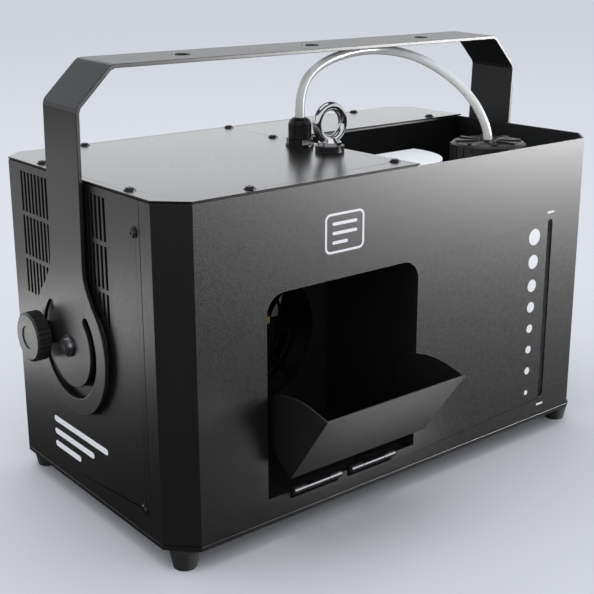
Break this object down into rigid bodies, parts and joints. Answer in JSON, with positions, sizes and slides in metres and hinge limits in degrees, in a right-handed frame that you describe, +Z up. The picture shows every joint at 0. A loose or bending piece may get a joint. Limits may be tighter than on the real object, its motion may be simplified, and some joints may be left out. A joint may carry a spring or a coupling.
{
  "type": "fog machine",
  "caption": "Black sheet-steel fog machine with hanging yoke, hinged output flap, open fluid bay with canister and hose, lifting eye and rear controls.",
  "frame": {"origin": "on the floor under the middle of the whole object, open flap and rear fittings included", "axes": "+X along the body towards the canister end, -Y the output side, +Z up"},
  "size_m": [0.4948, 0.3094, 0.3522],
  "materials": {
    "case_steel": "satin black powder coat",
    "cover_steel": "smooth semi-gloss black coat",
    "inner_steel": "matt black coat",
    "yoke_steel": "satin black powder coat",
    "rubber": "matt black",
    "zinc_steel": "zinc plated",
    "dark_screw": "black oxide",
    "chrome": "polished",
    "hinge_steel": "plated knuckles, leaves painted black with the body",
    "black_plastic": "fine satin",
    "button_plastic": "satin",
    "rocker_plastic": "gloss red",
    "hose_plastic": "milky, slightly clear",
    "canister_plastic": "milky white",
    "aluminium": "as cast",
    "insulator": "pressed mineral board",
    "brass": "darkened by heat",
    "pump_metal": "plain",
    "circuit_board": "solder mask green",
    "socket_metal": "black chrome"
  },
  "bodies": {
    "case": {"base_tray": "case_steel", "front_panel": "case_steel", "left_side_panel": "case_steel", "right_side_panel": "case_steel", "rear_panel": "case_steel", "top_cover": "cover_steel", "top_frame": "case_steel", "tank_liner": "inner_steel", "output_duct": "inner_steel", "rubber_feet": "rubber", "foot_screws": "zinc_steel", "cover_screws": "dark_screw", "side_screws": "dark_screw", "rear_screws": "dark_screw", "eye_bolt": "chrome", "eye_bolt_collar": "black_plastic", "eye_bolt_nut": "zinc_steel", "gland_body": "black_plastic", "gland_dome_nut": "black_plastic", "gland_lock_nut": "black_plastic", "fluid_hose": "hose_plastic", "fluid_bottle": "canister_plastic", "suction_filter": "zinc_steel", "pivot_screws": "zinc_steel", "pivot_washers": "zinc_steel", "yoke_spacers": "black_plastic", "yoke_nut_plates": "zinc_steel", "hinge_body_leaves": "hinge_steel", "hinge_pins": "hinge_steel", "heater_block": "aluminium", "heater_brackets": "insulator", "heater_nozzle": "brass", "thermostat": "black_plastic", "fluid_pump": "pump_metal", "pump_bracket": "zinc_steel", "fluid_tubes": "hose_plastic", "fan_frame": "black_plastic", "fan_guard": "inner_steel", "power_board": "circuit_board", "board_parts": "black_plastic", "control_board": "circuit_board", "display_module": "black_plastic", "dmx_sockets": "socket_metal", "power_inlet": "black_plastic", "switch_housing": "black_plastic"},
    "yoke": {"yoke": "yoke_steel"},
    "knob_l": {"knob_left": "black_plastic", "knob_stud_left": "zinc_steel"},
    "knob_r": {"knob_right": "black_plastic", "knob_stud_right": "zinc_steel"},
    "flap": {"output_flap": "inner_steel", "hinge_flap_leaves": "hinge_steel"},
    "cap": {"bottle_cap": "black_plastic"},
    "fan": {"fan_rotor": "black_plastic"},
    "key_menu": {"button_menu": "button_plastic"},
    "key_down": {"button_down": "button_plastic"},
    "key_up": {"button_up": "button_plastic"},
    "key_enter": {"button_enter": "button_plastic"},
    "rocker": {"switch_rocker": "rocker_plastic"},
    "fuse": {"fuse_cap": "black_plastic"}
  },
  "joints": [
    {"name": "yoke_tilt", "type": "hinge", "parent": "case", "child": "yoke", "pos_m": [0, 0.03533, 0.1395], "axis": [1, 0, 0], "range_deg": [-43, 218]},
    {"name": "knob_left_turn", "type": "hinge", "parent": "case", "child": "knob_l", "pos_m": [-0.24, 0.07233, 0.1395], "axis": [1, 0, 0], "range_deg": [0, 360]},
    {"name": "knob_right_turn", "type": "hinge", "parent": "case", "child": "knob_r", "pos_m": [0.24, 0.07233, 0.1395], "axis": [1, 0, 0], "range_deg": [0, 360]},
    {"name": "flap_swing", "type": "hinge", "parent": "case", "child": "flap", "pos_m": [0, -0.10187, 0.0385], "axis": [1, 0, 0], "range_deg": [-35, 20]},
    {"name": "cap_turn", "type": "hinge", "parent": "case", "child": "cap", "pos_m": [0.157, -0.03167, 0.25], "axis": [0, 0, 1], "range_deg": [0, 540]},
    {"name": "fan_spin", "type": "hinge", "parent": "case", "child": "fan", "pos_m": [-0.07, 0.00973, 0.116], "axis": [0, 1, 0], "continuous": true},
    {"name": "menu_press", "type": "slide", "parent": "case", "child": "key_menu", "axis": [0, -1, 0], "range_m": [0, 0.0008], "stiffness_N_per_m": 600},
    {"name": "down_press", "type": "slide", "parent": "case", "child": "key_down", "axis": [0, -1, 0], "range_m": [0, 0.0008], "stiffness_N_per_m": 600},
    {"name": "up_press", "type": "slide", "parent": "case", "child": "key_up", "axis": [0, -1, 0], "range_m": [0, 0.0008], "stiffness_N_per_m": 600},
    {"name": "enter_press", "type": "slide", "parent": "case", "child": "key_enter", "axis": [0, -1, 0], "range_m": [0, 0.0008], "stiffness_N_per_m": 600},
    {"name": "power_rock", "type": "hinge", "parent": "case", "child": "rocker", "pos_m": [-0.082, 0.14583, 0.215], "axis": [1, 0, 0], "range_deg": [-16, 0]},
    {"name": "fuse_turn", "type": "hinge", "parent": "case", "child": "fuse", "pos_m": [-0.112, 0.14533, 0.215], "axis": [0, 1, 0], "range_deg": [0, 90]}
  ]
}
